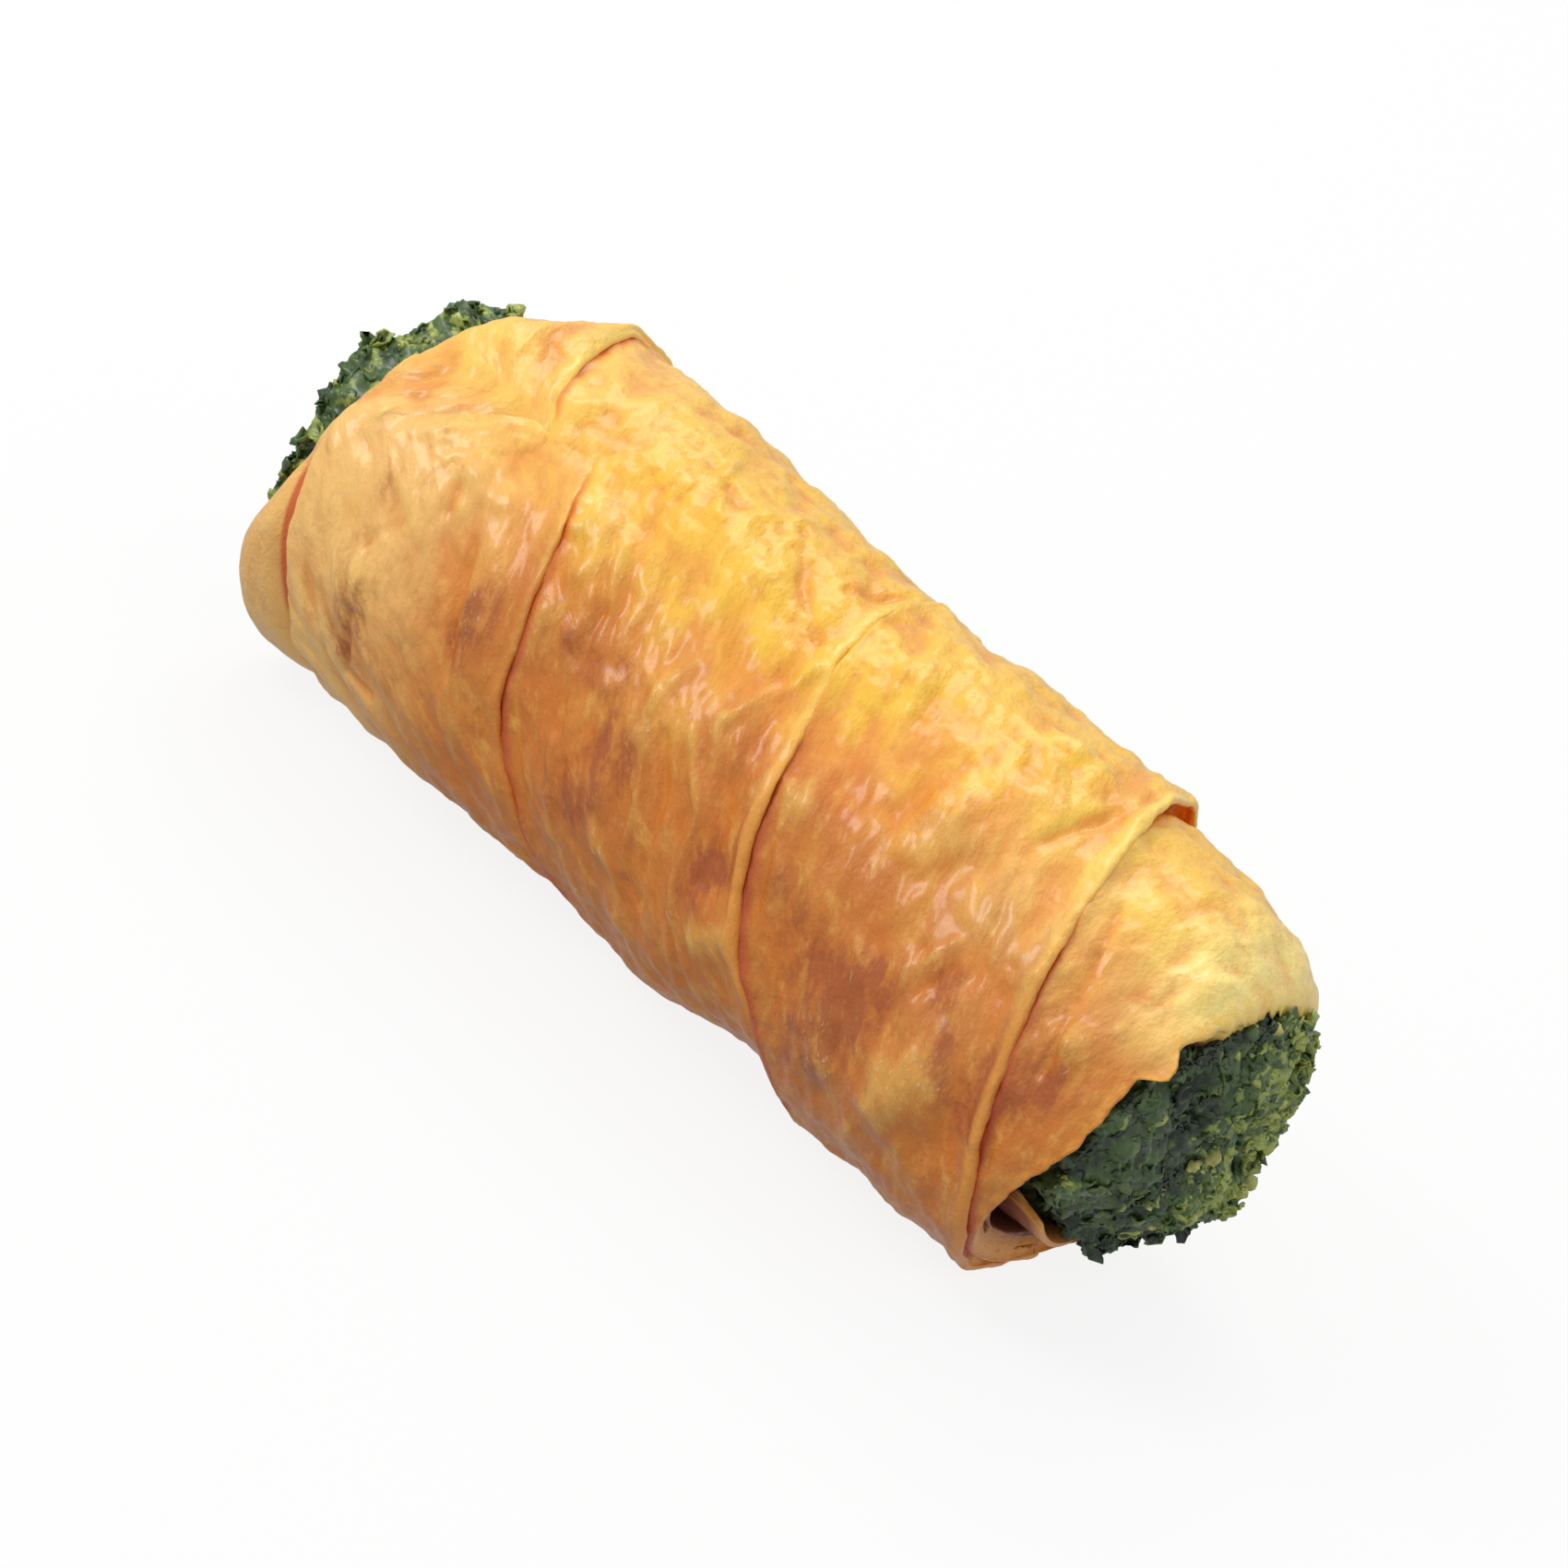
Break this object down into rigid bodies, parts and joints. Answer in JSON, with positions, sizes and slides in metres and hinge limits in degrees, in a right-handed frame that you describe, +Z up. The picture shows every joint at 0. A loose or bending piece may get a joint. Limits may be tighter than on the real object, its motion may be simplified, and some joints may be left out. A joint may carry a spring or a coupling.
{
  "type": "borek",
  "caption": "Baked roll of thin dough, wound in a slanting spiral round a thick chopped spinach filling that shows at both open ends.",
  "frame": {"origin": "middle of the footprint's bounding box, on the surface it lies on", "axes": "+X along the roll towards the end with the hollow under its outer sheet, +Z up, -Y towards the pictured front"},
  "size_m": [0.1216, 0.0546, 0.0467],
  "materials": {
    "pastry": "golden brown baked dough with a soft oily shine",
    "filling": "moist dark green chopped leaves with pale crumbs"
  },
  "bodies": {
    "root": {"pastry": "pastry", "filling": "filling"}
  },
  "joints": []
}
